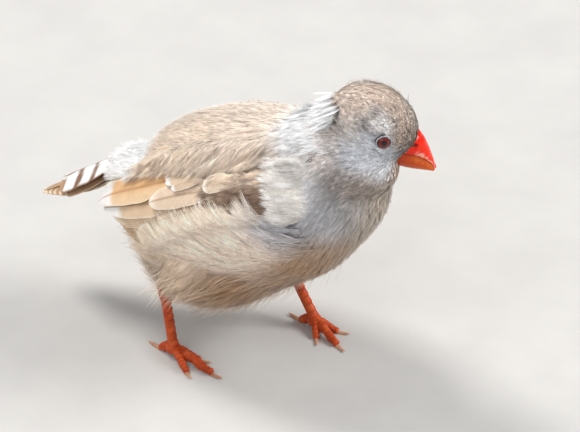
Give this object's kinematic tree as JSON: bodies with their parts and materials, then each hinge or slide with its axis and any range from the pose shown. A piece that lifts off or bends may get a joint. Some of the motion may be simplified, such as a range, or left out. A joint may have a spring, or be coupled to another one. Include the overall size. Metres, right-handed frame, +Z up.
{
  "type": "zebra finch",
  "caption": "Still, life-size model of a pale fawn zebra finch hen in mid-step, head turned to its left, standing on its own feet.",
  "frame": {"origin": "on the floor, under the middle of the whole bird's box", "axes": "+X the way the body faces, +Y the bird's left, +Z up"},
  "size_m": [0.0896, 0.0384, 0.0701],
  "materials": {
    "plumage_body": "soft feathers, cream and pale fawn",
    "plumage_head": "short fine feathers, grey fawn above and silver grey on the cheek",
    "plumage_wing": "smooth flight feathers, fawn with cream tips",
    "plumage_tail": "smooth feathers, barred brown and white",
    "bill": "glossy horn, orange red",
    "leg_skin": "scaly skin, brick orange",
    "claw": "smooth horn, pale orange",
    "eye": "wet gloss, dark red with a black pupil"
  },
  "bodies": {
    "root": {"torso": "plumage_body", "neck": "plumage_body", "head": "plumage_head", "bill_upper": "bill", "bill_lower": "bill", "eye_left": "eye", "eye_right": "eye", "wing_left": "plumage_wing", "wing_right": "plumage_wing", "tail": "plumage_tail", "thigh_left": "plumage_body", "thigh_right": "plumage_body", "shank_left": "leg_skin", "shank_right": "leg_skin", "foot_left": "leg_skin", "foot_right": "leg_skin", "claw_hind_left": "claw", "claw_inner_left": "claw", "claw_middle_left": "claw", "claw_outer_left": "claw", "claw_hind_right": "claw", "claw_inner_right": "claw", "claw_middle_right": "claw", "claw_outer_right": "claw"}
  },
  "joints": []
}
